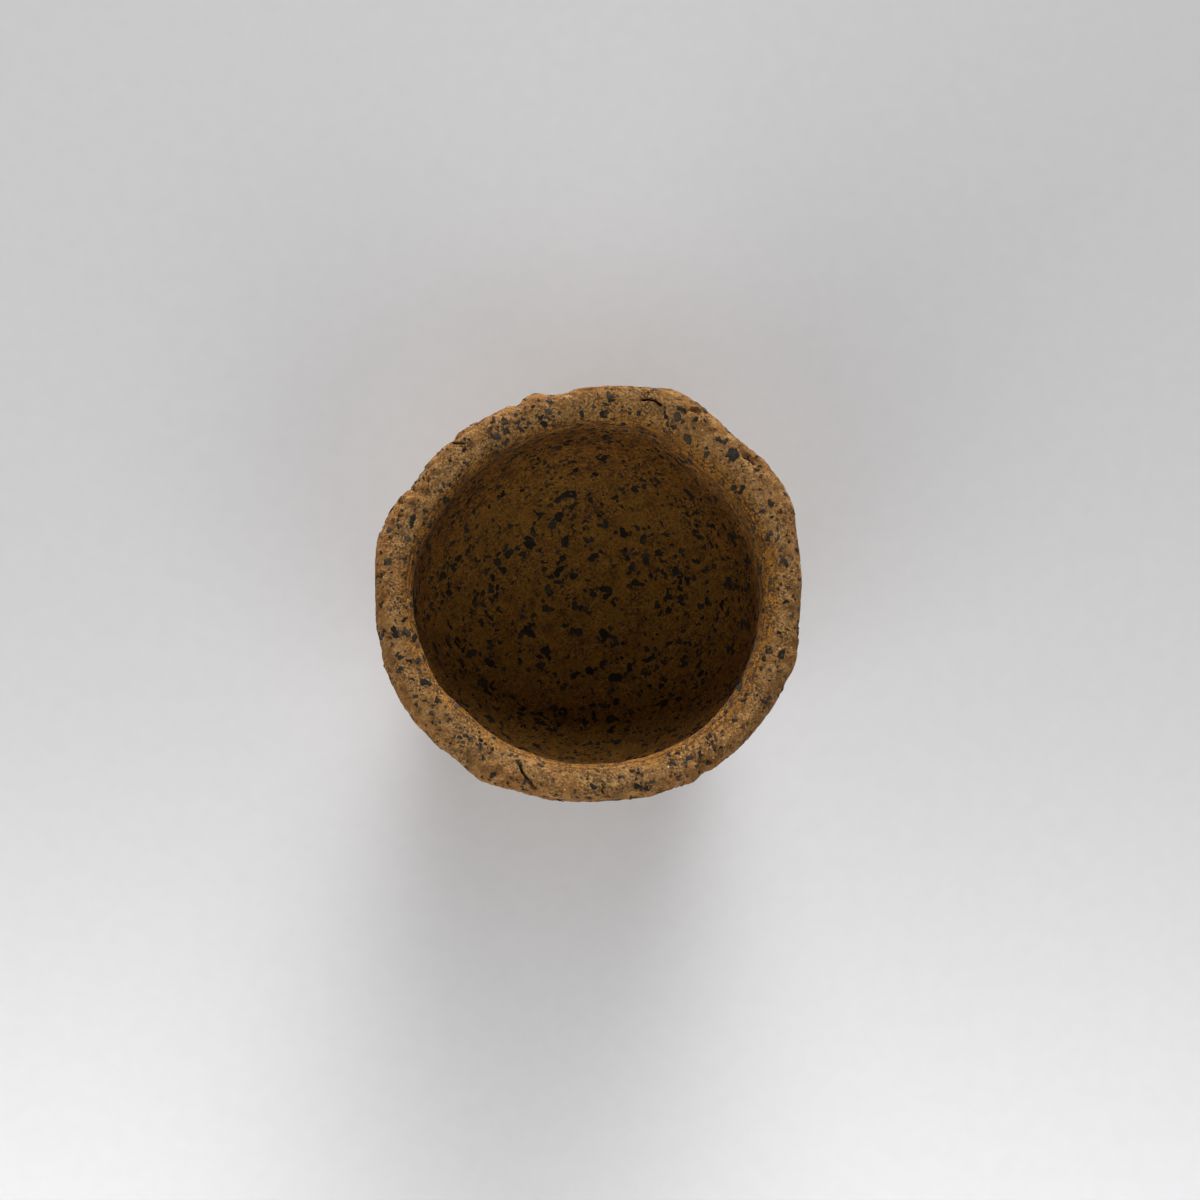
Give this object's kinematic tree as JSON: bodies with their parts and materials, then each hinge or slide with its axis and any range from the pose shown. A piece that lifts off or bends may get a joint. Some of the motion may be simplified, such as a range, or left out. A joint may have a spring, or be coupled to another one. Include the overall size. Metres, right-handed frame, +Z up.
{
  "type": "mezcal cup",
  "caption": "Small round-bowled drinking cup of coarse unglazed stoneware: pressed base, coiled wall, thick uneven lip, dark stones set in the clay.",
  "frame": {"origin": "middle of the flat underside of the foot, under the middle of the uneven outline", "axes": "+Z straight up out of the open mouth; the slanting join in the lip lies towards -Y"},
  "size_m": [0.0642, 0.0628, 0.0425],
  "materials": {
    "stoneware_clay": "matt unglazed tan stoneware, coarse and dry, speckled with dark grit",
    "dark_stone": "matt near-black crushed stone, slightly glassy from the firing"
  },
  "bodies": {
    "root": {"base_dish": "stoneware_clay", "lower_wall_coil": "stoneware_clay", "upper_wall_coil": "stoneware_clay", "lip_coil": "stoneware_clay", "lip_stone_1": "dark_stone", "lip_stone_2": "dark_stone", "lip_stone_3": "dark_stone", "lip_stone_4": "dark_stone", "lip_stone_5": "dark_stone", "lip_stone_6": "dark_stone", "lip_stone_7": "dark_stone", "lip_stone_8": "dark_stone", "bowl_stone_1": "dark_stone", "bowl_stone_2": "dark_stone", "bowl_stone_3": "dark_stone", "bowl_stone_4": "dark_stone", "bowl_stone_5": "dark_stone", "bowl_stone_6": "dark_stone", "bowl_stone_7": "dark_stone", "bowl_stone_8": "dark_stone", "bowl_stone_9": "dark_stone", "bowl_stone_10": "dark_stone", "bowl_stone_11": "dark_stone", "bowl_stone_12": "dark_stone"}
  },
  "joints": []
}
